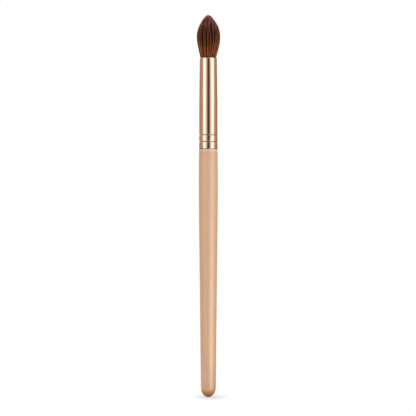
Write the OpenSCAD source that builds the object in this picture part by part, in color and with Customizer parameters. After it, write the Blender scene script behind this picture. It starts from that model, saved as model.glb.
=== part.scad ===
// Eyeshadow brush: a round tapered tuft, set in a drawn metal ferrule on a turned, lacquered handle.
// Sizes are in millimetres. +Z runs along the brush to the tip of the hair, and the origin is the
// lowest point of the handle's rounded end.

/* [Handle] */
// Length of the handle that shows below the ferrule
handle_length = 113.3; // [95:0.1:140]
// Height of the rounded end
dome_height = 4.5; // [1.5:0.05:6]
// Diameter of the straight land above the rounded end, which a brush stand takes
land_d = 6.92; // [5:0.01:8]
// Length of that land
land_length = 4; // [4:0.5:16]
// Diameter at the widest point
belly_d = 8.71; // [8.45:0.01:11]
// Distance of the widest point below the ferrule
belly_drop = 14.3; // [6:0.1:25]
// Length over which the straight taper rounds into the widest point
belly_blend = 17; // [8:1:40]
// How far the neck stands proud of the ferrule
neck_proud = 0.02; // [0:0.01:0.1]
// Radius of the lacquered edge at the neck
neck_round = 0.15; // [0.05:0.01:0.3]
// Length of the tenon inside the ferrule
tenon_length = 13; // [11:0.5:16]
// Chamfer at the end of the tenon
tenon_chamfer = 0.5; // [0.2:0.1:1]

/* [Ferrule] */
// Length from the lower edge to the mouth
ferrule_length = 41.5; // [37:0.1:60]
// Outer diameter of the straight lower part
ferrule_d = 8.39; // [7.95:0.01:8.65]
// Outer diameter at the mouth
mouth_d = 7.9; // [7.2:0.05:8.3]
// Thickness of the metal
ferrule_wall = 0.35; // [0.2:0.05:0.6]
// Length of the straight lip below the mouth
lip_length = 3.3; // [1:0.1:6]
// Radius of the rounded edge at the mouth
lip_round = 0.2; // [0.05:0.01:0.2]
// Length of the taper below the lip
taper_length = 17; // [5:0.1:20]
// Number of rolled grooves
groove_count = 2; // [1:1:3]
// Height of the lowest groove above the lower edge
first_groove = 3.2; // [2:0.1:4.5]
// Distance from one groove to the next
groove_pitch = 3.05; // [1.5:0.05:4]
// Width of a groove
groove_width = 0.7; // [0.4:0.05:1.2]
// Depth of a groove
groove_depth = 0.2; // [0.1:0.01:0.35]
// How far the metal swells between the grooves
bead_rise = 0.05; // [0:0.01:0.15]

/* [Tuft] */
// Length of the hair above the mouth
tuft_length = 20.2; // [13:0.1:30]
// Diameter at the widest point
tuft_d = 10.5; // [8:0.1:14]
// Height of the widest point above the mouth
tuft_belly = 9.95; // [5:0.05:12]
// Number of strands, each of which stands for a lock of fine hairs
strand_count = 300; // [300:10:500]
// Space between the hair and the metal at the mouth
hair_gap = 0.1; // [0.05:0.01:0.3]
// How far the binding draws the roots in
root_gather = 0.6; // [0.5:0.05:1]
// Depth of the roots below the mouth
root_depth = 10; // [9:0.5:14]
// Thickness of the slice of hardened root block that the hair stands in
slice_thickness = 0.8; // [0.5:0.1:1.5]

/* [Glue and binding] */
// Length of the epoxy plug below the root block
plug_length = 5; // [2:0.5:8]
// Thickness of the adhesive between the tenon and the ferrule
film = 0.1; // [0.05:0.01:0.2]
// Thickness of the binding thread
thread_d = 0.3; // [0.2:0.01:0.32]
// Number of turns of the thread
thread_turns = 3; // [2:1:4]
// Height of one turn
thread_pitch = 0.75; // [0.73:0.01:0.9]
// Height of the first turn above the root block
thread_lift = 1.2; // [0.5:0.1:2]

/* [Hidden] */
// Gap between a cast or fitted piece and its seat
fit_gap = 0.02;
// Gap between the thread and the hair inside it
thread_gap = 0.05;
// How far a strand's root is sunk into the slice, from its top
strand_sink = 0.4;

// Powers that bend the outlines: the neck, the lower tuft, the upper tuft and the flow of the hair
neck_power = 3;
flare_power = 1.65;
crown_power = 2.2;
flow_power = 0.85;
// Radius of a strand as a share of the space that it has
strand_fill_share = 0.84;
// Heights of the strands' rings as shares of the tuft's length, from the skin of the tuft inwards
skin_ring_shares = [0, 0.13, 0.26, 0.5, 0.62];
middle_ring_shares = [0, 0.26, 0.5];
core_ring_shares = [0, 0.5];
// Shares of the radius where the skin and the core end
skin_share = 0.9;
core_share = 0.6;
// Length over which a strand narrows to its point, and the most by which that point falls short
strand_taper = 1.2;
end_scatter = 0.8;
scatter_shares = rands(0, 1, strand_count, 7);
// Turn from each strand to the next, which spaces them evenly over the disc
golden_angle = 180 * (3 - sqrt(5));
strand_sides = 3;
thread_sides = 6;
thread_rings_per_turn = 16;
// Steps in the dome, the blend, the neck, a band, half a groove and a rounded edge
dome_steps = 14;
blend_steps = 8;
neck_steps = 10;
band_steps = 5;
groove_steps = 4;
round_steps = 4;
$fn = 64;

land_r = land_d / 2;
belly_r = belly_d / 2;
belly_z = handle_length - belly_drop;
land_top = dome_height + land_length;
blend_z = belly_z - belly_blend;
// Slope at which the straight taper meets a parabola that is level at the widest point
taper_slope = (belly_r - land_r) / (blend_z - land_top + belly_blend / 2);
neck_r = ferrule_d / 2 + neck_proud;

mouth_r = mouth_d / 2;
mouth_z = handle_length + ferrule_length;
taper_top = ferrule_length - lip_length;
taper_bottom = taper_top - taper_length;

hair_mouth_r = mouth_r - ferrule_wall - hair_gap;
hair_root_r = hair_mouth_r - root_gather;
hair_belly_r = tuft_d / 2;
strand_k = strand_fill_share / sqrt(strand_count);
root_z = mouth_z - root_depth;

// Middle of groove g, above the ferrule's lower edge
function groove_t(g) = first_groove + g * groove_pitch;

// Heights of the points along band g, which ends at groove g
function band_start(g) = g == 0 ? 0 : groove_t(g - 1) + groove_width / 2;
function band_end(g) = groove_t(g) - groove_width / 2;

// Outer radius of the tube at height t above its lower edge, with no grooves
function tube_r(t) =
    let (share = max(0, min(1, (t - taper_bottom) / taper_length)))
    ferrule_d / 2 + (mouth_r - ferrule_d / 2) * share;

// Inner radius of the tube at height z
function bore_r(z) = tube_r(z - handle_length) - ferrule_wall;

// Outline of the grooved part from the lower edge up, drawn in by inset
function grooved(inset) = [
    for (g = [0 : groove_count - 1]) each concat(
        [for (i = [0 : band_steps - 1])
            let (share = i / band_steps)
            [tube_r(0) + bead_rise * sin(180 * share) - inset,
             band_start(g) + (band_end(g) - band_start(g)) * share]],
        [for (i = [-groove_steps : groove_steps - (g < groove_count - 1 ? 1 : 0)])
            let (share = i / groove_steps)
            [tube_r(0) - groove_depth * pow(cos(90 * share), 2) - inset,
             groove_t(g) + groove_width / 2 * share]]
    )
];

// A list of [radius, height] points, lifted by z
function lifted(points, z) = [for (p = points) [p[0], p[1] + z]];

// A list in reverse order
function reversed(points) = [for (i = [len(points) - 1 : -1 : 0]) points[i]];

module handle() {
    tenon_inset = ferrule_wall + film + 2 * fit_gap;
    tenon_r = tube_r(0) - tenon_inset;
    tenon_top = handle_length + tenon_length;
    dome = [for (i = [0 : dome_steps])
        let (a = 90 * i / dome_steps)
        [land_r * sin(a), dome_height * (1 - cos(a))]];
    taper = [[land_r, land_top], [land_r + taper_slope * (blend_z - land_top), blend_z]];
    blend = [for (i = [1 : blend_steps])
        let (left = 1 - i / blend_steps)
        [belly_r - taper_slope * belly_blend / 2 * pow(left, 2), belly_z - belly_blend * left]];
    shoulder = [for (i = [1 : neck_steps])
        let (w = i / neck_steps)
        [belly_r - (belly_r - neck_r) * pow(w, neck_power),
         belly_z + (belly_drop - neck_round) * w]];
    edge = [for (i = [1 : round_steps])
        let (a = 90 * i / round_steps)
        [neck_r - neck_round * (1 - cos(a)), handle_length - neck_round * (1 - sin(a))]];
    tenon = concat(
        lifted(grooved(tenon_inset), handle_length),
        [[tenon_r, tenon_top - tenon_chamfer],
         [tenon_r - tenon_chamfer, tenon_top],
         [0, tenon_top]]
    );
    color("#d6ae90")
        rotate_extrude()
            polygon(concat(dome, taper, blend, shoulder, edge, tenon));
}

module tenon_glue() {
    outer_inset = ferrule_wall + fit_gap;
    film_top = tenon_length - tenon_chamfer;
    outside = concat(grooved(outer_inset), [[tube_r(0) - outer_inset, film_top]]);
    inside = [for (p = reversed(outside)) [p[0] - film, p[1]]];
    color("#d8cda4")
        translate([0, 0, handle_length])
            rotate_extrude()
                polygon(concat(outside, inside));
}

module ferrule() {
    lip = [for (i = [0 : round_steps])
        let (a = 90 * i / round_steps)
        [mouth_r - lip_round * (1 - cos(a)), ferrule_length - lip_round * (1 - sin(a))]];
    outside = concat(
        grooved(0),
        [[tube_r(taper_bottom), taper_bottom], [mouth_r, taper_top]],
        lip
    );
    inside = concat(
        [[mouth_r - ferrule_wall, ferrule_length],
         [mouth_r - ferrule_wall, taper_top],
         [tube_r(taper_bottom) - ferrule_wall, taper_bottom]],
        reversed(grooved(ferrule_wall))
    );
    color("#c4987a")
        translate([0, 0, handle_length])
            rotate_extrude()
                polygon(concat(outside, inside));
}

module root_glue() {
    bottom = root_z - plug_length;
    bends = [for (z = [taper_bottom + handle_length, taper_top + handle_length])
        if (z > bottom && z < root_z) z];
    heights = concat([bottom], bends, [root_z]);
    color("#c08a3c")
        rotate_extrude()
            polygon(concat(
                [[0, bottom]],
                [for (z = heights) [bore_r(z) - fit_gap, z]],
                [[0, root_z]]
            ));
}

// Outline of the upper tuft at height h, as a share of its widest radius
function crown(h) =
    1 - pow(min(1, (h - tuft_belly) / (tuft_length - tuft_belly)), crown_power);

// Radius that the outermost hair would follow at height h above the mouth
function flow_r(h) =
    h <= 0 ? hair_mouth_r + (hair_mouth_r - hair_root_r) * h / root_depth
    : h <= tuft_belly ? hair_belly_r
        - (hair_belly_r - hair_mouth_r) * pow((tuft_belly - h) / tuft_belly, flare_power)
    : hair_belly_r * pow(crown(h), flow_power);

// Share of the outline's radius at which strand i runs
function strand_share(i) = sqrt((i + 0.5) / strand_count);

// Height at which a strand with this share of the radius meets the outline
function strand_end(share) =
    tuft_belly + (tuft_length - tuft_belly)
        * pow(1 - pow(share, 1 / (1 - flow_power)), 1 / crown_power);

// Rings that a strand has above the mouth, as shares of the tuft's length: a strand further out
// has all the rings of one further in, so that straight stretches never bring two together
function strand_rings(share) =
    share > skin_share ? skin_ring_shares
    : share > core_share ? middle_ring_shares
    : core_ring_shares;

// Middle of a strand at height h above the mouth, with the outermost one's flat side on the outline
function strand_middle(share, turn, h) =
    let (r = share * (1 - strand_k * cos(180 / strand_sides)) * flow_r(h))
    [r * cos(turn), r * sin(turn), mouth_z + h];

// Faces of a tube of so many rings and sides that ends flat at its first ring
function tube_faces(rings, sides) = concat(
    [for (k = [1 : sides - 2]) [0, k, k + 1]],
    [for (r = [0 : rings - 2]) for (k = [0 : sides - 1])
        let (a = r * sides + k)
        let (b = r * sides + (k + 1) % sides)
        each [[a, a + sides, b], [b, a + sides, b + sides]]]
);

// Faces that close a tube in the point that follows its last ring
function point_faces(rings, sides) =
    let (last = (rings - 1) * sides)
    [for (k = [0 : sides - 1]) [last + k, last + sides, last + (k + 1) % sides]];

// One strand, a three-sided lock that runs from inside the slice to its point
module strand(i) {
    share = strand_share(i);
    turn = i * golden_angle;
    full_end = strand_end(share) - strand_taper;
    heights = concat(
        [slice_thickness - strand_sink - root_depth],
        [for (s = strand_rings(share)) if (s * tuft_length < full_end) s * tuft_length],
        [full_end]
    );
    corners = [for (h = heights) for (k = [0 : strand_sides - 1])
        let (a = turn + 180 * (2 * k + 1) / strand_sides)
        strand_middle(share, turn, h) + strand_k * flow_r(h) * [cos(a), sin(a), 0]];
    tip = strand_middle(share, turn, strand_end(share) - share * end_scatter * scatter_shares[i]);
    polyhedron(
        points = concat(corners, [tip]),
        faces = concat(
            tube_faces(len(heights), strand_sides),
            point_faces(len(heights), strand_sides)
        )
    );
}

module bristle_tuft() {
    slice_top = root_z + slice_thickness;
    color("#5e3322") {
        translate([0, 0, root_z])
            cylinder(
                h = slice_thickness,
                r1 = bore_r(root_z) - fit_gap,
                r2 = bore_r(slice_top) - fit_gap
            );
        for (i = [0 : strand_count - 1]) strand(i);
    }
}

// Middle of the thread after a share of its turns, with its straight stretches clear of the hair
function thread_middle(share) =
    let (h = slice_thickness + thread_lift - root_depth + thread_pitch * thread_turns * share)
    let (r = (flow_r(h) + thread_gap + thread_d / 2) / cos(180 / thread_rings_per_turn))
    let (a = 360 * thread_turns * share)
    [r * cos(a), r * sin(a), mouth_z + h];

module binding_thread() {
    steps = thread_turns * thread_rings_per_turn;
    middles = [for (i = [0 : steps]) thread_middle(i / steps)];
    outwards = [for (i = [0 : steps])
        let (a = 360 * thread_turns * i / steps)
        [cos(a), sin(a), 0]];
    rings = [for (i = [0 : steps]) for (k = [0 : thread_sides - 1])
        let (a = 360 * k / thread_sides)
        middles[i] + thread_d / 2 * (cos(a) * outwards[i] + [0, 0, sin(a)])];
    last = steps * thread_sides;
    gaps = [for (i = [0 : steps]) for (j = [i + thread_rings_per_turn / 2 : 1 : steps])
        norm(middles[i] - middles[j]) - thread_d];
    echo(binding_thread_least_gap_to_itself = min(gaps));
    color("#ded6c2")
        polyhedron(
            points = rings,
            faces = concat(
                tube_faces(steps + 1, thread_sides),
                [for (k = [1 : thread_sides - 2]) [last, last + k + 1, last + k]]
            )
        );
}

handle();
tenon_glue();
ferrule();
root_glue();
binding_thread();
bristle_tuft();
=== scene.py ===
"""An eyeshadow brush that stands on its rounded end: a lacquered handle, a drawn metal ferrule and a
tapered tuft of fine hair. Lengths are in metres, and +Z runs up to the tip of the hair."""

import math

import bpy
import numpy as np
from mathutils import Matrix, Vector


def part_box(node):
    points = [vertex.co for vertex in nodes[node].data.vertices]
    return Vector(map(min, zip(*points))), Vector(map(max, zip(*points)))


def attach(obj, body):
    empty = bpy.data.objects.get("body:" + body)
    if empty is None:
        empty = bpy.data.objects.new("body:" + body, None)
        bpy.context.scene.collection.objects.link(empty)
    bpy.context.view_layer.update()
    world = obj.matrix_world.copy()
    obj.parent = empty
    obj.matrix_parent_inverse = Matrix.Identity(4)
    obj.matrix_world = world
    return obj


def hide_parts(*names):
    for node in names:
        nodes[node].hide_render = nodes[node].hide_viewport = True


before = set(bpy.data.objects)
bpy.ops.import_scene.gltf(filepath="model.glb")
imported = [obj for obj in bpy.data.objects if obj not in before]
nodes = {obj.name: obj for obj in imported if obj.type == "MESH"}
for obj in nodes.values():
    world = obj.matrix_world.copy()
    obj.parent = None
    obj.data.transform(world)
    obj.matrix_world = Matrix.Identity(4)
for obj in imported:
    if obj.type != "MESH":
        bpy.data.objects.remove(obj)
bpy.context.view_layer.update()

MM = 0.001

# Places that the frame gives
handle_low, handle_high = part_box("handle")
ferrule_low, ferrule_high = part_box("ferrule")
tuft_low, tuft_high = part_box("bristle_tuft")
neck_z = ferrule_low.z
mouth_z = ferrule_high.z
root_z = tuft_low.z
tip_z = tuft_high.z
tenon_top = handle_high.z
belly_r = handle_high.x

# The handle
land_r = 3.46 * MM
dome_height = 4.5 * MM
land_length = 4 * MM
belly_drop = 14.3 * MM
belly_blend = 17 * MM
neck_proud = 0.02 * MM
neck_round = 0.15 * MM
neck_power = 3
tenon_chamfer = 0.5 * MM
dome_steps = 24
taper_steps = 12
blend_steps = 16
neck_steps = 16

# The ferrule
tube_r = 4.195 * MM
mouth_r = 3.95 * MM
ferrule_wall = 0.35 * MM
lip_length = 3.3 * MM
lip_round = 0.2 * MM
edge_round = 0.03 * MM
taper_length = 17 * MM
taper_top = mouth_z - lip_length
taper_bottom = taper_top - taper_length
groove_heights = [3.26 * MM, 6.32 * MM]
groove_width = 0.56 * MM
groove_depth = 0.17 * MM
bead_rise = 0.04 * MM
glue_room = 0.14 * MM
band_steps = 12
groove_steps = 8
tube_steps = 6
round_steps = 6

# Steps round each turned piece, the angle past which an edge stays crisp, and how near doubles lie
spin_steps = 128
crisp_angle = math.radians(38)
double_gap = 0.0005 * MM

# The tuft's outline
tuft_length = tip_z - mouth_z
root_depth = mouth_z - root_z
hair_length = root_depth + tuft_length
tuft_belly = 9.65 * MM
tuft_belly_r = 5.4 * MM
hair_mouth_r = 3.43 * MM
root_gather = 0.53 * MM
flare_power = 1.5
crown_power = 2.17
crown_share = 0.935
flow_power = 0.55

# The slice of root block
slice_thickness = 0.8 * MM
slice_room = 0.02 * MM
slice_round = 0.08 * MM

# The hairs. Their rings stand at shares of the stretch from the mouth to where they start to thin.
hair_count = 6600
skin_hairs = 3300
hair_r = 0.042 * MM
hair_taper = 2.0 * MM
hair_point = 0.9 * MM
thinned_share = 0.62
ring_shares = [0, 0.16, 0.32, 0.48, 0.64, 0.8, 1]
facing_ring = 4
golden_angle = math.pi * (3 - math.sqrt(5))
hair_seed = 7
turn_play = 0.004

# Wisps and locks: their number, the turn of the first, and how far each hair is pulled to the middle
# of its own, over the first stretch from the mouth and again towards its end
wisp_count = 620
lock_count = 64
first_wisp = 0.7
first_lock = 2.1
wisp_pull = 0.1
wisp_stretch = 8 * MM
wisp_end_pull = 0.5
lock_pull = 0.22
lock_stretch = 5 * MM
lock_end_pull = 0.1
end_stretch = 6 * MM

# How much shorter the hairs are than the outline, by hair, by wisp and by lock, in millimetres
hair_short = 0.2
most_short = 1.6
wisp_short = 0.3
lock_short = 0.25

# How the hairs sway, and how the middle of the tuft leans to the right
sway_width = 0.05 * MM
sway_stretch = 12 * MM
sway_pitch = 4 * MM
sway_starts = 6.3
sway_ratio = 1.3
lean = 0.1 * MM
lean_foot = 5 * MM
lean_top = 14 * MM

# Partings between the locks: turn in degrees from the front, to the right as the photograph shows
# them, lowest and highest point above the mouth, and width, in millimetres
front_partings = [
    (-62, 6, 13, 0.2),
    (-50, 6, 15, 0.22),
    (-31, 5.5, 14, 0.42),
    (-10.8, 3.8, 14, 0.6),
    (3.6, 4, 13, 0.38),
    (19.5, 5.2, 14.5, 0.42),
    (32, 7, 14, 0.2),
    (52, 2, 12, 0.3),
    (68, 5, 14, 0.3),
]

# The other partings stand a step apart, give or take some play, and leave room before the first in
# front, in degrees. Their ends and widths lie between these limits, in millimetres.
back_parting_step = 15
back_parting_play = 4
back_parting_room = 8
back_lows = (1, 7)
back_highs = (11, 17)
back_widths = (0.2, 0.5)
parting_seed = 5

# How far round a parting the hairs move, how it fades along its length and towards the core, and how
# deep the hairs beside it sink
parting_reach = 0.6 * MM
parting_fade = 2.2 * MM
parting_edge = 0.2 * MM
parting_sink = 0.07
parted_shares = (0.25, 0.7)
least_around = 0.3 * MM
most_sunk = 1.2

# The tone of a hair, from 0 to 1: its mean, how it scatters by wisp, by lock and by hair, how it falls
# beside a parting and at the rim of a lock as painted shade, and how it rises at the sides, between the
# turns given, as painted light
mean_tone = 0.52
wisp_tone = 0.3
lock_tone = 0.06
hair_tone = 0.12
parting_shade_tone = 1.4
lock_rim_shade = 0.4
lock_rim_shade_shares = (0.65, 1)
side_light_tone = 0.27
side_light_turns = (52, 66)
outer_shares = (0.5, 0.8)

# Painted highlights: paler streaks in front, where locks catch the light, with turn in degrees and strength
painted_glints = [(-62, 0.5), (-44, 0.4), (-21, 1.1), (-3, 0.8), (9.8, 1.4), (25.4, 0.9), (38, 0.2)]
glint_spread = 2.3
glint_share = 0.4

# The hair's map has a column for each tone, for each depth at which a hair lies and for how late it
# turns brown, which scatters by wisp and by hair. A share of last_share or more falls in the last
# column. From a few millimetres below the height at which it surfaces, a hair lies buried and is
# darkened by painted shade. Heights above the mouth are in millimetres.
hair_map = "OFBake"
hair_tones = 4
hair_depths = 8
hair_turns = 4
hair_columns = hair_tones * hair_depths * hair_turns
last_share = 0.999
mean_late = 0.5
wisp_late = 0.3
hair_late = 0.2
late_spread = 0.08
dark_hair = 0.22
light_hair = 1.55
# Painted shade on buried hair: how bright it stays, and over which depths and how far below its surfacing
# it darkens
buried_shade = 0.4
buried_shade_depths = (1, 5)
surfacing = (0.8, 3.6)
# The first stop is painted shade just above the ferrule's lip, and the paler stops towards the tip are
# partly painted light from above; between them run the hair's own amber and mauve brown
hair_colours = [
    (0, (0.2, 0.065, 0.018)),
    (0.9, (0.41, 0.124, 0.031)),
    (5, (0.355, 0.097, 0.02)),
    (8, (0.235, 0.061, 0.013)),
    (11, (0.235, 0.073, 0.034)),
    (15, (0.47, 0.165, 0.1)),
    (17.6, (0.58, 0.21, 0.135)),
    (18.8, (0.82, 0.34, 0.245)),
    (20, (1, 0.5, 0.39)),
]

# Where the corners of a hair's faces lie in a column of the map, and how high its closed root is there
column_left = 0.15
column_middle = 0.5
column_right = 0.85
root_height = 0.004

# The handle's finish: where the tenon's wood is bare, where painted shade darkens the lacquer at the seam
# and at the foot, and where a painted highlight lightens it below the neck
bare_edge = (neck_z + 0.1 * MM, neck_z + 0.3 * MM)
seam_edge = (neck_z - 0.16 * MM, neck_z - 0.06 * MM)
butt_shade_edge = (1.7 * MM, 4.4 * MM)
neck_highlight_edge = (neck_z - 1.6 * MM, neck_z - 0.9 * MM)

# The sizes, edges and strengths of the lacquer's clouds, specks and flakes, its orange peel, and the
# grain of the wood
cloud_size = 5 * MM
speck_size = 0.5 * MM
flake_size = 0.14 * MM
cloud_edge = (0.3, 0.7)
speck_edge = (0.35, 0.75)
flake_edge = (0.6, 0.75)
speck_share = 0.3
flake_share = 0.2
flake_metal = 0.1
seam_shade_share = 0.6
peel_size = 0.8 * MM
fine_peel_size = 0.12 * MM
fine_peel_share = 0.2
peel_depth = 0.003 * MM
grain_size = 0.5 * MM
grain_stretch = (1, 1, 16)

# The colours of the lacquer, of its painted shade and painted highlight, and of the wood
lacquer = (0.632, 0.361, 0.2)
cloud_lacquer = (0.652, 0.375, 0.212)
speck_lacquer = (0.682, 0.41, 0.25)
flake_lacquer = (0.75, 0.49, 0.34)
butt_shade_colour = (0.47, 0.21, 0.085)
neck_highlight_colour = (0.7, 0.43, 0.265)
seam_shade_colour = (0.13, 0.07, 0.045)
dark_wood = (0.52, 0.36, 0.2)
pale_wood = (0.74, 0.57, 0.38)

# The ferrule's finish, darkened by painted shade in the grooves and at the foot beside the handle, with
# the lines that the drawing left and a faint haze
foot_shade_edge = (0.2 * MM, 0.38 * MM)
foot_shade_share = 0.95
groove_shade_edge = (groove_width * 0.15, groove_width * 0.42)
groove_shade_share = 0.92
line_size = 0.16 * MM
line_stretch = (1, 1, 60)
line_depth = 0.0006 * MM
haze_size = 3 * MM
haze_stretch = (1, 1, 3)
gold = (0.855, 0.56, 0.415)
pale_gold = (0.885, 0.585, 0.435)
shaded_gold = (0.24, 0.187, 0.15)

# The finishes inside
resin_cloud_size = 1.2 * MM
dimple_size = 0.5 * MM
dimple_depth = 0.02 * MM
twist_size = 0.06 * MM
twist_stretch = (1, 1, 2.5)
twist_depth = 0.02 * MM
dark_thread = (0.62, 0.55, 0.42)
pale_thread = (0.82, 0.78, 0.68)
dark_block = (0.2, 0.09, 0.03)
pale_block = (0.34, 0.17, 0.06)
dark_glue = (0.56, 0.46, 0.25)
pale_glue = (0.7, 0.6, 0.38)
dark_epoxy = (0.42, 0.22, 0.05)
pale_epoxy = (0.62, 0.38, 0.12)

# The studio. Turns are in degrees round the brush, from the camera to the right, and heights are in
# degrees above the level. A pair says where a soft edge starts and where it ends. The ferrule mirrors
# what lies in the band, and the panels above and below it light the rest.
band_foot = (-7, -3)
band_top = (16, 21)
gap_foot = (-22, -15)
gap_top = (20, 26)
gap_side = (45, 75)
right_box_inner = (5, 58)
right_box_outer = (61, 84)
left_box_inner = (0, 52)
left_box_outer = (60.5, 71)
key_box_inner = (8, 28)
key_box_outer = (52, 80)
widening_edge = (5, 8)
right_widening = 6.2
left_widening = 4.6
box_core = (0.1, 0.75)
card_turns = (88, 130)
far_card_turns = (-90, 90)
outer_card_turns = (70, 110)
right_backdrop = (160, 174)
left_backdrop = (150, 162)
ring_edge = (26, 36)
mirrored_dome_edge = (24, 44)
key_turn = math.radians(60)

# How bright the studio's lights are, and its colours
box_light = 1.82
key_light = 4.25
key_fall = 2.4
key_fall_edge = (18, 28)
left_fill = 0.6
white = (1, 1, 1)
box_colour = (0.97, 1, 1.1)
key_colour = (0.93, 1.04, 1.08)
box_rim = (1.08, 0.95, 0.85)
gap_colour = (0.05, 0.026, 0.004)
outer_gap = (0.48, 0.46, 0.44)
near_card = (0.52, 0.44, 0.34)
left_far_card = (0.43, 0.325, 0.22)
right_far_card = (0.37, 0.275, 0.17)
left_outer_card = (0.88, 0.8, 0.72)
right_outer_card = (0.1, 0.075, 0.05)
backdrop_light = (1.2, 1.2, 1.2)
dome_past_key = (1.5, 1.5, 1.5)
dome_at_key = (0.68, 0.68, 0.68)
mirrored_dome = (0.52, 0.48, 0.44)

# The floor, with painted shade close to the brush and, where it is seen, a glow that shapes its shadow
floor_r = 0.045
floor_sides = 96
floor_grain = 0.02
floor_grain_size = 2 * MM
near_shade_edge = (1.5 * MM, 5 * MM)
near_floor_shade = (0.3, 0.2, 0.13)
far_floor = (0.93, 0.93, 0.93)
eased_floor = (0.648, 0.69, 0.702)
eased_grain = (0.8, 0.8, 0.8)
shadow_core = (1.4 * MM, 3.2 * MM)
shadow_rim = (3 * MM, 12 * MM)
core_glow = 0.47
core_fall = 0.19
rim_glow = 0.1
mirrored_edge = (7 * MM, 15 * MM)
mirrored_floor_shade = (0.16, 0.1, 0.07)

# The photograph is 416 pixels wide, and the brush is seen level from its middle
photo_pixels = 416
metres_per_pixel = 0.4574 * MM
camera_distance = 0.5
camera_height = 0.0864
axis_pixel = 208.3
sensor_width = 36


class Wire:
    """A socket of a shader. Sums of wires and numbers are written as they read."""

    def __init__(self, tree, socket=None):
        self.tree = tree
        self.socket = socket

    def node(self, kind, settings, inputs, output=0):
        """Adds a node, sets it up, fills its sockets and gives the output, or outputs, asked for."""
        made = self.tree.nodes.new("ShaderNode" + kind)
        for name, value in settings.items():
            if name == "stops":
                set_stops(made.color_ramp, value)
            else:
                setattr(made, name, value)
        for name, value in inputs.items():
            socket = made.inputs[name]
            if isinstance(value, Wire):
                self.tree.links.new(value.socket, socket)
            else:
                socket.default_value = (*value, 1) if socket.type == "RGBA" else value
        if isinstance(output, tuple):
            return [Wire(self.tree, made.outputs[name]) for name in output]
        return Wire(self.tree, made.outputs[output] if made.outputs else None)

    def sum(self, operation, *values):
        """The result of a Math node on these values."""
        return self.node("Math", {"operation": operation}, dict(enumerate(values)))

    def __add__(self, other):
        return self.sum("ADD", self, other)

    def __sub__(self, other):
        return self.sum("SUBTRACT", self, other)

    def __rsub__(self, other):
        return self.sum("SUBTRACT", other, self)

    def __mul__(self, other):
        return self.sum("MULTIPLY", self, other)

    def __neg__(self):
        return self.sum("MULTIPLY", self, -1)

    def __abs__(self):
        return self.sum("ABSOLUTE", self)

    __radd__ = __add__
    __rmul__ = __mul__


def set_stops(ramp, stops):
    """Gives a colour ramp these (place, colour) stops."""
    while len(ramp.elements) < len(stops):
        ramp.elements.new(1)
    for element, (place, colour) in zip(ramp.elements, stops):
        element.position = place
        element.color = (*colour, 1)


def rise(value, start, end):
    """0 before start, 1 after end, and smooth between them."""
    limits = {"Value": value, "From Min": start, "From Max": end}
    return value.node("MapRange", {"interpolation_type": "SMOOTHSTEP"}, limits)


def between(value, first_edge, last_edge):
    """1 from the first soft edge to the last, and 0 outside them."""
    return rise(value, *first_edge) * (1 - rise(value, *last_edge))


def blend(factor, first, second):
    """The colour that lies this far from first to second."""
    return factor.node("Mix", {"data_type": "RGBA"}, {0: factor, 6: first, 7: second}, 2)


def whole(value):
    """The whole part of a value."""
    return value.sum("FLOOR", value)


def digit(value, base):
    """How many times base goes into a whole value, and what is left over. A little is added, so that
    a value that rounding made too small isn't taken for the one below."""
    times = whole(value * (1 / base) + 0.001)
    return times, value - times * base


def scaled(colour, factor):
    """A colour times a factor."""
    return factor.node("VectorMath", {"operation": "SCALE"}, {0: colour, "Scale": factor})


def add_colours(first, second):
    """The sum of two colours."""
    return first.node("VectorMath", {"operation": "ADD"}, {0: first, 1: second})


def noise(place, size, detail=2, stretch=(1, 1, 1)):
    """Cloudy noise from 0 to 1 whose patches are about this size, drawn out along an axis by stretch."""
    scale = [1 / (size * s) for s in stretch]
    spot = place.node("VectorMath", {"operation": "MULTIPLY"}, {0: place, 1: scale})
    return place.node("TexNoise", {}, {"Vector": spot, "Scale": 1, "Detail": detail}, "Fac")


def bump(height, depth):
    """The surface's direction where its height varies from 0 to 1 times depth."""
    return height.node("Bump", {}, {"Height": height, "Distance": depth, "Strength": 1})


def height_of(place):
    """How high a place is."""
    return place.node("SeparateXYZ", {}, {0: place}, "Z")


def ray_kinds(wire):
    """1 for what the camera sees straight, for what shows in a mirror, and for what is seen at all,
    straight, in a mirror or through glass."""
    camera_ray, glossy, through = wire.node(
        "LightPath", {}, {}, ("Is Camera Ray", "Is Glossy Ray", "Is Transmission Ray"))
    return camera_ray, glossy, wire.sum("MAXIMUM", camera_ray, wire.sum("MAXIMUM", glossy, through))


def new_material(name):
    """A material with an empty tree, and the place on the piece as its first wire."""
    made = bpy.data.materials.new(name)
    made.use_nodes = True
    made.node_tree.nodes.clear()
    start = Wire(made.node_tree)
    return made, start.node("TexCoord", {}, {}, "Object")


def end_in_shader(wire, inputs):
    """Ends a material in the principled shader with these inputs."""
    shader = wire.node("BsdfPrincipled", {}, inputs)
    wire.node("OutputMaterial", {}, {"Surface": shader})


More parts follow.
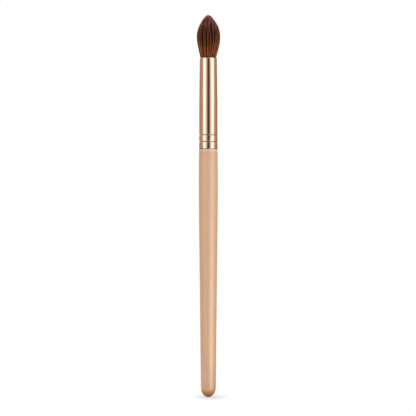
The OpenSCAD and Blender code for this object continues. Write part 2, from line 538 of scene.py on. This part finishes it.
def pearl_lacquer():
    """Champagne lacquer with fine pearl flakes, painted shade at the foot and at the seam, a painted
    highlight below the neck, and the bare wood of the tenon above the neck.
    """
    made, place = new_material("pearl_lacquer")
    height = height_of(place)
    bare = rise(height, *bare_edge)
    # Painted shade: the lacquer darkens at the seam below the ferrule
    seam = rise(height, *seam_edge) * seam_shade_share
    # Painted shade: the lacquer darkens towards the rounded end that stands on the floor
    butt_shade = 1 - rise(height, *butt_shade_edge)
    # Painted highlight: the lacquer is paler just below the neck, where its rounded edge catches the light
    neck_highlight = rise(height, *neck_highlight_edge)
    cloud = rise(noise(place, cloud_size, detail=3), *cloud_edge)
    speck = rise(noise(place, speck_size), *speck_edge)
    flake = rise(noise(place, flake_size, detail=0), *flake_edge)
    mottled = blend(speck * speck_share, blend(cloud, lacquer, cloud_lacquer), speck_lacquer)
    pearly = blend(flake * flake_share, mottled, flake_lacquer)
    coated = blend(neck_highlight, blend(butt_shade, pearly, butt_shade_colour), neck_highlight_colour)
    grain = noise(place, grain_size, detail=3, stretch=grain_stretch)
    wood = blend(grain, dark_wood, pale_wood)
    peel = noise(place, peel_size, detail=1) + fine_peel_share * noise(place, fine_peel_size, detail=0)
    end_in_shader(place, {
        "Base Color": blend(bare, blend(seam, coated, seam_shade_colour), wood),
        "Metallic": flake * flake_metal * (1 - bare),
        "Roughness": 0.33 + 0.04 * cloud + 0.4 * seam,
        "IOR": 1.7,
        "Normal": bump(peel, peel_depth),
    })
    return made


def rose_gold():
    """Polished rose gold with the faint lengthwise lines of the drawing die, darkened by painted shade in
    the grooves and at the foot.
    """
    made, place = new_material("rose_gold")
    lines = noise(place, line_size, stretch=line_stretch)
    haze = noise(place, haze_size, stretch=haze_stretch)
    height = height_of(place)
    # Painted shade: the metal darkens at the foot, beside the handle, and in each rolled groove
    metal_shade = foot_shade_share - foot_shade_share * rise(height - neck_z, *foot_shade_edge)
    for middle in groove_heights:
        metal_shade = metal_shade + 1 - rise(abs(height - neck_z - middle), *groove_shade_edge)
    end_in_shader(place, {
        "Base Color": blend(metal_shade * groove_shade_share, blend(lines, gold, pale_gold), shaded_gold),
        "Metallic": 1,
        "Roughness": 0.1 + 0.05 * lines + 0.05 * haze,
        "Normal": bump(lines, line_depth),
    })
    return made


def fine_hair():
    """Filament that runs from amber at the root to mauve brown at the tip. Its tone, how late it turns
    brown and where it lies under others and takes painted shade come from the hair's own column of its map."""
    made, place = new_material("fine_hair")
    spot = place.node("UVMap", {"uv_map": hair_map}, {})
    across, along = place.node("SeparateXYZ", {}, {0: spot}, ("X", "Y"))
    rest, tone = digit(whole(across * hair_columns), hair_tones)
    turn, depth = digit(rest, hair_depths)
    late = (turn * (1 / (hair_turns - 1)) - 0.5) * late_spread
    stops = [((root_depth + h * MM) / hair_length, colour) for h, colour in hair_colours]
    colour = place.node("ValToRGB", {"stops": stops}, {0: along + late})

    depth_step = (tuft_length - tuft_belly) / hair_length / (hair_depths - 1)
    surface = depth * depth_step + (root_depth + tuft_belly) / hair_length
    # Painted shade: hair that lies under others is darker
    buried_share = rise((surface - along) * (hair_length / MM), *surfacing) * rise(depth, *buried_shade_depths)
    shade = dark_hair + (light_hair - dark_hair) / (hair_tones - 1) * tone
    shade = shade * (1 - (1 - buried_shade) * buried_share)
    end_in_shader(place, {
        "Base Color": scaled(colour, shade),
        "Roughness": 0.45,
        "IOR": 1.5,
        "Specular IOR Level": 0.18,
    })
    return made


def cast_resin(name, deep, pale, roughness):
    """Set glue or epoxy, a little cloudy, with the dimples of its free surface."""
    made, place = new_material(name)
    cloud = noise(place, resin_cloud_size, detail=3)
    end_in_shader(place, {
        "Base Color": blend(cloud, deep, pale),
        "Roughness": roughness + 0.1 * cloud,
        "Normal": bump(noise(place, dimple_size), dimple_depth),
    })
    return made


def waxed_thread():
    """Cotton thread with its twist, made matt by wax."""
    made, place = new_material("waxed_thread")
    twist = noise(place, twist_size, stretch=twist_stretch)
    end_in_shader(place, {
        "Base Color": blend(twist, dark_thread, pale_thread),
        "Roughness": 0.6 + 0.2 * twist,
        "Normal": bump(twist, twist_depth),
    })
    return made


def turned(name, outline):
    """A piece of the lathe: the outline is drawn point by point and spun round the axis."""
    bpy.ops.object.select_all(action="DESELECT")
    first_r, first_z = outline[0]
    bpy.ops.mesh.primitive_plane_add(size=MM, location=(first_r, 0, first_z))
    piece = bpy.context.object
    piece.name = name
    bpy.ops.object.transform_apply(location=True, rotation=True, scale=True)
    bpy.ops.object.mode_set(mode="EDIT")
    bpy.ops.mesh.select_all(action="SELECT")
    bpy.ops.mesh.merge(type="CENTER")
    for (r, z), (next_r, next_z) in zip(outline, outline[1:]):
        step = (next_r - r, 0, next_z - z)
        bpy.ops.mesh.extrude_vertices_move(TRANSFORM_OT_translate={"value": step})
    bpy.ops.mesh.select_all(action="SELECT")
    bpy.ops.mesh.spin(steps=spin_steps, angle=2 * math.pi, center=(0, 0, 0), axis=(0, 0, 1))
    bpy.ops.mesh.select_all(action="SELECT")
    bpy.ops.mesh.remove_doubles(threshold=double_gap)
    bpy.ops.mesh.normals_make_consistent(inside=False)
    bpy.ops.object.mode_set(mode="OBJECT")
    bpy.ops.object.shade_smooth_by_angle(angle=crisp_angle)
    return piece


def shares(steps, first=0):
    """Even shares of a stretch, from 0, or from the step that first names, to 1."""
    return [i / steps for i in range(first, steps + 1)]


def quarter_angles(steps):
    """Even angles from nothing to a quarter turn."""
    return [share * math.pi / 2 for share in shares(steps)]


def quarter(radius, edge_r, edge_z):
    """A quarter round below edge_z that turns in from edge_r."""
    return [(edge_r - radius * (1 - math.cos(a)), edge_z - radius * (1 - math.sin(a)))
            for a in quarter_angles(round_steps)]


def grooved(inset):
    """The swelling bands and rolled grooves from the ferrule's lower edge up, drawn in by inset."""
    points = []
    band_start = 0
    for middle in groove_heights:
        band_length = middle - groove_width / 2 - band_start
        for share in shares(band_steps)[:-1]:
            r = tube_r + bead_rise * math.sin(math.pi * share) - inset
            points.append((r, neck_z + band_start + band_length * share))
        last = middle == groove_heights[-1]
        for share in shares(2 * groove_steps)[: None if last else -1]:
            r = tube_r - groove_depth * math.sin(math.pi * share) - inset
            points.append((r, neck_z + middle + groove_width * (share - 0.5)))
        band_start = middle + groove_width / 2
    return points


def handle_outline():
    """From the lowest point over the land, the taper, the belly and the neck to the tenon's end."""
    land_top = dome_height + land_length
    belly_z = neck_z - belly_drop
    blend_z = belly_z - belly_blend
    slope = (belly_r - land_r) / (blend_z - land_top + belly_blend / 2)
    neck_r = tube_r + neck_proud
    dome = [(land_r * math.sin(a), dome_height * (1 - math.cos(a))) for a in quarter_angles(dome_steps)]
    taper = [(land_r + slope * (blend_z - land_top) * s, land_top + (blend_z - land_top) * s)
             for s in shares(taper_steps)]
    swell = [(belly_r - slope * belly_blend / 2 * (1 - s) ** 2, belly_z - belly_blend * (1 - s))
             for s in shares(blend_steps, 1)]
    shoulder = [(belly_r - (belly_r - neck_r) * s ** neck_power, belly_z + (belly_drop - neck_round) * s)
                for s in shares(neck_steps, 1)]
    edge = quarter(neck_round, neck_r, neck_z)[1:]
    inset = ferrule_wall + glue_room
    tenon_r = tube_r - inset
    tenon = [*grooved(inset), (tenon_r, tenon_top - tenon_chamfer), (tenon_r - tenon_chamfer, tenon_top),
             (0, tenon_top)]
    return dome + taper + swell + shoulder + edge + tenon


def ferrule_outline():
    """Round the wall of the tube: up the outside, over the lip and down the bore."""
    foot = [(tube_r - edge_round * (1 - math.sin(a)), neck_z + edge_round * (1 - math.cos(a)))
            for a in quarter_angles(round_steps)]
    grooves = grooved(0)
    tube_bottom = grooves[-1][1]
    straight = [(tube_r, tube_bottom + (taper_bottom - tube_bottom) * s) for s in shares(tube_steps, 1)]
    taper = [(tube_r + (mouth_r - tube_r) * s, taper_bottom + taper_length * s)
             for s in shares(tube_steps, 1)]
    lip = quarter(lip_round, mouth_r, mouth_z)
    bore = [(mouth_r - ferrule_wall, mouth_z), (mouth_r - ferrule_wall, taper_top),
            (tube_r - ferrule_wall, taper_bottom), *reversed(grooved(ferrule_wall))]
    return foot + grooves[1:] + straight + taper + lip + bore + foot[:1]


def root_slice():
    """The slice of hardened root block that the hairs stand in."""
    tube_r_at_root = tube_r + (mouth_r - tube_r) * (root_z - taper_bottom) / taper_length
    low_r = tube_r_at_root - ferrule_wall - slice_room
    top_r = low_r + (mouth_r - tube_r) / taper_length * slice_thickness
    top_z = root_z + slice_thickness
    return turned("root_slice", [
        (0, root_z), (low_r - slice_round, root_z), (low_r, root_z + slice_round),
        (top_r, top_z - slice_round), (top_r - slice_round, top_z), (0, top_z),
    ])


def smooth(value, start, end):
    """0 before start, 1 after end, and smooth between them."""
    share = np.clip((value - start) / (end - start), 0, 1)
    return share * share * (3 - 2 * share)


def crown(h):
    """Outline of the upper tuft at height h above the mouth, as a share of its widest radius."""
    up = np.clip((h - tuft_belly) / (tuft_length - tuft_belly), 0, 1)
    return 1 - (crown_share * up) ** crown_power


def flow_r(h):
    """Radius that the outermost hair follows at height h above the mouth."""
    below = hair_mouth_r + root_gather * h / root_depth
    left = np.clip((tuft_belly - h) / tuft_belly, 0, 1)
    flare = tuft_belly_r - (tuft_belly_r - hair_mouth_r) * left ** flare_power
    closing = tuft_belly_r * crown(h) ** flow_power
    return np.where(h <= 0, below, np.where(h <= tuft_belly, flare, closing))


def hair_end(share):
    """Height at which a hair with this share of the radius meets the outline."""
    up = (1 - share ** (1 / (1 - flow_power))) ** (1 / crown_power) / crown_share
    return tuft_belly + (tuft_length - tuft_belly) * np.minimum(up, 1)


def partings():
    """All partings, with those past the front spread evenly with some play, in radians and metres."""
    chance = np.random.default_rng(parting_seed)
    first = front_partings[-1][0] + back_parting_step
    last = 360 + front_partings[0][0] - back_parting_room
    others = [(turn + chance.uniform(-back_parting_play, back_parting_play), chance.uniform(*back_lows),
               chance.uniform(*back_highs), chance.uniform(*back_widths))
              for turn in np.arange(first, last, back_parting_step)]
    return [(math.radians(turn - 90), low * MM, high * MM, width * MM)
            for turn, low, high, width in front_partings + others]


def part_hair(share, turn, h):
    """Pushes hairs aside along each parting and sinks those beside it, which rounds the locks. Also
    gives how far each hair is sunk at most."""
    new_turn = turn.copy()
    sunk = np.zeros_like(turn)
    around = np.maximum(share * flow_r(h), least_around)
    for middle, low, high, width in partings():
        off = ((turn - middle + math.pi) % (2 * math.pi) - math.pi) * around
        opening = smooth(h, low - parting_fade, low + parting_fade)
        opening *= 1 - smooth(h, high - parting_fade, high + parting_fade)
        opening *= smooth(share, *parted_shares)
        new_turn += np.sign(off) * width / 2 * np.exp(-np.abs(off) / parting_reach) * opening / around
        sunk += opening * np.exp(-(off / parting_edge) ** 2) * width / MM
    sunk = np.clip(sunk, 0, most_sunk)
    return share * (1 - parting_sink * sunk), new_turn, sunk.max(1)


def gathered(x, y, count, first_turn):
    """The bundle out of this many that each hair belongs to, the bundles' middles, and how near to
    the rim of its bundle each hair stands, as a share."""
    share = np.sqrt((np.arange(count) + 0.5) / count)
    turn = np.arange(count) * golden_angle + first_turn
    middle_x, middle_y = share * np.cos(turn), share * np.sin(turn)
    apart = (x[:, None] - middle_x) ** 2 + (y[:, None] - middle_y) ** 2
    bundle = np.argmin(apart, 1)
    gap = np.sort(apart, 1)
    return bundle, middle_x[bundle], middle_y[bundle], np.sqrt(gap[:, 0] / gap[:, 1])


def from_front(turn):
    """A turn in radians as degrees from the front, which looks towards -Y, from -180 to 180."""
    return (np.degrees(turn) + 270) % 360 - 180


def hair_paths():
    """Middles of each hair's rings, from the slice up, its share of the radius and the column of its
    colour. The last ring but one is thinned, and the last is the hair's point."""
    chance = np.random.default_rng(hair_seed)
    index = np.arange(hair_count)
    share = np.sqrt((index + 0.5) / hair_count)
    turn = index * golden_angle + chance.normal(0, turn_play, hair_count)
    x, y = share * np.cos(turn), share * np.sin(turn)

    wisp, wisp_x, wisp_y, _ = gathered(x, y, wisp_count, first_wisp)
    lock, lock_x, lock_y, rim = gathered(x, y, lock_count, first_lock)

    short = chance.exponential(hair_short, hair_count).clip(0, most_short)
    short += np.abs(chance.normal(0, wisp_short, wisp_count))[wisp]
    short += np.abs(chance.normal(0, lock_short, lock_count))[lock]
    end = hair_end(share) - short * MM
    root = np.full(hair_count, slice_thickness / 2 - root_depth)
    h = np.column_stack([root, np.outer(end - hair_taper, ring_shares), end - hair_point, end])
    end = end[:, None]

    near_end = smooth(h, end - end_stretch, end)
    to_wisp = wisp_pull * smooth(h, 0, wisp_stretch) + wisp_end_pull * near_end
    to_lock = lock_pull * smooth(h, 0, lock_stretch) + lock_end_pull * near_end
    x_at = x[:, None] + (wisp_x - x)[:, None] * to_wisp + (lock_x - x)[:, None] * to_lock
    y_at = y[:, None] + (wisp_y - y)[:, None] * to_wisp + (lock_y - y)[:, None] * to_lock
    share_at, turn_at, sunk = part_hair(np.hypot(x_at, y_at), np.arctan2(y_at, x_at), h)
    r = share_at * flow_r(np.minimum(h, tuft_length))
    middle = np.stack([r * np.cos(turn_at), r * np.sin(turn_at), mouth_z + h], 2)
    sway = sway_width * smooth(h, 0, sway_stretch)
    beat = h / sway_pitch + chance.uniform(0, sway_starts, (hair_count, 1))
    leaning = smooth(h, 0, lean_foot) - smooth(h, lean_top, tuft_length)
    middle[:, :, 0] += sway * np.sin(beat) + lean * leaning
    middle[:, :, 1] += sway * np.cos(sway_ratio * beat)

    tone = mean_tone + wisp_tone * chance.normal(0, 1, wisp_count)[wisp]
    tone += lock_tone * chance.normal(0, 1, lock_count)[lock]
    # Painted shade: hairs that sink beside a parting are darker
    tone += hair_tone * chance.normal(0, 1, hair_count) - parting_shade_tone * sunk
    # Painted shade: hairs at the rim of a lock are darker, as in the shade between locks
    tone -= lock_rim_shade * smooth(rim, *lock_rim_shade_shares)
    facing = from_front(turn_at[:, facing_ring])
    outer = smooth(share, *outer_shares)
    # Painted light: outer hairs that face the sides are paler
    tone += side_light_tone * smooth(np.abs(facing), *side_light_turns) * outer
    # Painted highlight: paler streaks on the outer hairs at the turns given
    for glint_turn, strength in painted_glints:
        off = (facing - glint_turn + 180) % 360 - 180
        tone += glint_share * strength * np.exp(-(off / glint_spread) ** 2) * outer
    late = mean_late + wisp_late * chance.normal(0, 1, wisp_count)[wisp]
    late += hair_late * chance.normal(0, 1, hair_count)
    depth = (hair_end(share) - tuft_belly) / (tuft_length - tuft_belly)
    column = 0
    for value, steps in [(late, hair_turns), (depth, hair_depths), (tone, hair_tones)]:
        column = column * steps + np.floor(np.clip(value, 0, last_share) * steps)
    return middle, share, column


def unit_hair(rings):
    """One three-sided hair of radius 1 whose rings are 1 apart: its root is closed, and it ends in a
    point at height rings."""
    bpy.ops.object.select_all(action="DESELECT")
    bpy.ops.mesh.primitive_circle_add(vertices=3, radius=1, fill_type="NGON")
    hair = bpy.context.object
    bpy.ops.object.mode_set(mode="EDIT")
    bpy.ops.mesh.select_all(action="SELECT")
    for ring in range(rings):
        bpy.ops.mesh.extrude_region_move(TRANSFORM_OT_translate={"value": (0, 0, 1)})
    bpy.ops.mesh.merge(type="CENTER")
    bpy.ops.mesh.select_all(action="SELECT")
    bpy.ops.mesh.quads_convert_to_tris()
    bpy.ops.mesh.normals_make_consistent(inside=False)
    bpy.ops.object.mode_set(mode="OBJECT")
    return hair


def places_across(corner, ring, faces, rings):
    """Where the corners of a hair's faces lie across a column of the map: to the left and the right,
    with the point, and the middle corner of the closed root, between them."""
    spoke = np.rint(np.degrees(np.arctan2(corner[:, 1], corner[:, 0])) / 120 % 3).astype(int) % 3
    across = np.empty(faces.shape)
    for face, row in zip(faces, across):
        kinds = [spoke[c] if ring[c] < rings - 1 else -1 for c in face]
        known = sorted({k for k in kinds if k >= 0})
        left = 2 if known == [0, 2] else known[0]
        central = {-1, 1} if len(known) > 2 else {-1}
        row[:] = [column_middle if k in central else column_left if k == left else column_right
                  for k in kinds]
    return across


def grow(name, pattern, middles, columns):
    """A piece with a copy of the pattern bent along each row of middles."""
    corner = np.array([v.co for v in pattern.data.vertices])
    ring = np.rint(corner[:, 2]).astype(int)
    faces = np.array([f.vertices for f in pattern.data.polygons])
    count, rings = middles.shape[:2]

    run = np.gradient(middles, axis=1)
    run /= np.linalg.norm(run, axis=2, keepdims=True)
    angle = np.arctan2(middles[:, :, 1], middles[:, :, 0])
    side = np.stack([-np.sin(angle), np.cos(angle), np.zeros_like(angle)], 2)
    side -= run * (side * run).sum(2, keepdims=True)
    side /= np.linalg.norm(side, axis=2, keepdims=True)
    face_out = np.cross(side, run)
    width = np.ones(rings) * hair_r
    width[-2] = hair_r * thinned_share
    points = middles[:, ring] + width[ring][None, :, None] * (
        side[:, ring] * corner[None, :, :1] + face_out[:, ring] * corner[None, :, 1:2])

    mesh = bpy.data.meshes.new(name)
    mesh.vertices.add(count * len(corner))
    mesh.vertices.foreach_set("co", points.reshape(-1))
    all_faces = (faces[None] + np.arange(count)[:, None, None] * len(corner)).reshape(-1)
    mesh.loops.add(len(all_faces))
    mesh.loops.foreach_set("vertex_index", all_faces)
    mesh.polygons.add(len(all_faces) // 3)
    mesh.polygons.foreach_set("loop_start", np.arange(0, len(all_faces), 3))
    mesh.update(calc_edges=True)

    heights = (points[:, :, 2] - root_z) / (tip_z - root_z)
    u = (columns[:, None, None] + places_across(corner, ring, faces, rings)[None]) / hair_columns
    v = heights[:, faces]
    cap = [i for i, face in enumerate(faces) if set(ring[face]) == {0}]
    v[:, cap] += np.array([0, 0, root_height])
    layer = mesh.uv_layers.new(name=hair_map)
    layer.data.foreach_set("uv", np.stack([u, v], 3).reshape(-1))
    mesh.polygons.foreach_set("use_smooth", np.ones(len(all_faces) // 3, bool))
    piece = bpy.data.objects.new(name, mesh)
    bpy.context.scene.collection.objects.link(piece)
    return piece


def dress(piece, material, replaced=None):
    """Gives a piece its material and slot, seats it on the frame and hides what it stands for."""
    piece.data.materials.clear()
    piece.data.materials.append(material)
    if replaced:
        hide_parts(replaced)
        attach(piece, "root")


# The pieces that show
dress(turned("lacquered_handle", handle_outline()), pearl_lacquer(), "handle")
dress(turned("polished_ferrule", ferrule_outline()), rose_gold(), "ferrule")
middles, hair_shares, columns = hair_paths()
pattern = unit_hair(middles.shape[1] - 1)
hair_material = fine_hair()
is_skin = hair_shares >= hair_shares[hair_count - skin_hairs]
for name, chosen in [("tuft_skin_hair", is_skin), ("tuft_core_hair", ~is_skin)]:
    dress(grow(name, pattern, middles[chosen], columns[chosen]), hair_material, "bristle_tuft")
bpy.data.objects.remove(pattern)

# The pieces inside
hard_block = cast_resin("root_block", dark_block, pale_block, roughness=0.35)
set_glue = cast_resin("wood_glue", dark_glue, pale_glue, roughness=0.4)
set_epoxy = cast_resin("amber_epoxy", dark_epoxy, pale_epoxy, roughness=0.15)
dress(root_slice(), hard_block, "bristle_tuft")
dress(nodes["tenon_glue"], set_glue)
dress(nodes["root_glue"], set_epoxy)
dress(nodes["binding_thread"], waxed_thread())


def light_studio():
    """A white studio whose light comes evenly from all sides. A ring of panels stands round the
    brush for the metal to mirror: a soft box on each side, a dark gap towards the camera between
    them, brown cards past them and the white backdrop behind. Above and below it stands a dome,
    which is paler on the side away from the key light."""
    world = bpy.data.worlds.new("studio")
    bpy.context.scene.world = world
    world.use_nodes = True
    world.node_tree.nodes.clear()
    start = Wire(world.node_tree)
    way = start.node("TexCoord", {}, {}, "Generated")
    x, y, z = start.node("SeparateXYZ", {}, {0: way}, ("X", "Y", "Z"))
    turn = x.sum("ARCTAN2", x, -y) * math.degrees(1)
    up = z.sum("ARCSINE", z) * math.degrees(1)
    camera_ray, glossy, seen = ray_kinds(start)

    band = between(up, band_foot, band_top)
    wider = rise(up, *widening_edge)
    right_box = rise(turn, *right_box_inner) * (1 - rise(turn - right_widening * wider, *right_box_outer))
    left_box = rise(-turn, *left_box_inner) * (1 - rise(-turn - left_widening * wider, *left_box_outer))
    key_box = between(turn, key_box_inner, key_box_outer)
    middle_light = (right_box + left_box) * box_light
    outer_light = key_box * (key_light - key_fall * rise(abs(up), *key_fall_edge)) + left_box * left_fill
    gap = blend(between(up, gap_foot, gap_top), outer_gap, gap_colour)
    far_card = blend(rise(turn, *far_card_turns), left_far_card, right_far_card)
    card = blend(rise(abs(turn), *card_turns), near_card, far_card)
    outer_card = blend(rise(turn, *outer_card_turns), left_outer_card, right_outer_card)
    dim = blend(rise(abs(turn), *gap_side), gap, blend(band, outer_card, card))
    panels = []
    for colour, light, boxes in [(key_colour, outer_light, key_box + left_box),
                                 (box_colour, middle_light, right_box + left_box)]:
        lit = scaled(blend(rise(boxes, *box_core), box_rim, colour), light)
        panels.append(add_colours(lit, scaled(dim, 1 - boxes)))
    backdrop = blend(seen, backdrop_light, white)
    behind = (rise(turn, *right_backdrop) + rise(-turn, *left_backdrop)) * (1 - glossy * (1 - band))
    ring = blend(behind, blend(band, *panels), backdrop)

    key_side = rise(x * math.sin(key_turn) - y * math.cos(key_turn), -1, 1)
    dome = blend(key_side, dome_past_key, dome_at_key)
    dome = blend(glossy * rise(abs(up), *mirrored_dome_edge), dome, mirrored_dome)
    shown = blend(camera_ray, blend(rise(abs(up), *ring_edge), ring, dome), white)
    start.node("OutputWorld", {}, {"Surface": start.node("Background", {}, {"Color": shown})})


def pale_floor():
    """A small round pale floor. Where it is seen, it glows as on a lit table: painted light that eases its
    shadow at the contact, with a painted ring of shadow round it. Close to the brush it is painted dark as
    shade, so that it throws little light back, and a mirror shows a dim painted shadow there and clear
    further out."""
    bpy.ops.object.select_all(action="DESELECT")
    bpy.ops.mesh.primitive_circle_add(vertices=floor_sides, radius=floor_r, fill_type="NGON",
                                      location=(0, 0, 0))
    floor = bpy.context.object
    floor.name = "floor"
    bpy.ops.object.mode_set(mode="EDIT")
    bpy.ops.mesh.select_all(action="SELECT")
    bpy.ops.mesh.inset(thickness=floor_r / 2, depth=0)
    bpy.ops.object.mode_set(mode="OBJECT")
    made, place = new_material("pale_floor")
    grain = noise(place, floor_grain_size) * floor_grain
    distance = place.node("VectorMath", {"operation": "LENGTH"}, {0: place}, "Value")
    _, glossy, seen = ray_kinds(place)
    # Painted shade: the floor is dark close to the brush, so that it throws little light back onto the
    # handle's end
    lit = blend(rise(distance, *near_shade_edge), blend(grain, near_floor_shade, white), blend(grain, far_floor, white))
    plain = place.node("BsdfDiffuse", {}, {"Color": lit})
    eased = place.node("BsdfDiffuse", {}, {"Color": blend(grain, eased_floor, eased_grain)})
    # Painted light and shadow: the glow is brightest at the contact, dips a little way out and rises again
    # further out
    ease = core_glow - core_fall * rise(distance, *shadow_core) + rim_glow * rise(distance, *shadow_rim)
    glow = place.node("Emission", {}, {"Color": scaled(white, ease)})
    table = place.node("AddShader", {}, {0: eased, 1: glow})
    shown = place.node("MixShader", {}, {0: seen, 1: plain, 2: table})
    clear = place.node("BsdfTransparent", {}, {})
    # Painted shadow: a mirror sees a dim brown floor close to the brush
    dim = place.node("Emission", {}, {"Color": mirrored_floor_shade})
    mirrored = place.node("MixShader", {}, {0: rise(distance, *mirrored_edge), 1: dim, 2: clear})
    shown = place.node("MixShader", {}, {0: glossy, 1: shown, 2: mirrored})
    place.node("OutputMaterial", {}, {"Surface": shown})
    floor.data.materials.append(made)


def place_camera():
    """A level camera in front, framed as the photograph."""
    data = bpy.data.cameras.new("camera")
    data.sensor_width = sensor_width
    data.lens = sensor_width * camera_distance / (photo_pixels * metres_per_pixel)
    camera = bpy.data.objects.new("camera", data)
    off_axis = (photo_pixels / 2 - axis_pixel) * metres_per_pixel
    camera.location = (off_axis, -camera_distance, camera_height)
    camera.rotation_euler = (math.pi / 2, 0, 0)
    bpy.context.scene.collection.objects.link(camera)
    bpy.context.scene.camera = camera


light_studio()
pale_floor()
place_camera()
bpy.context.scene.view_settings.view_transform = "Standard"
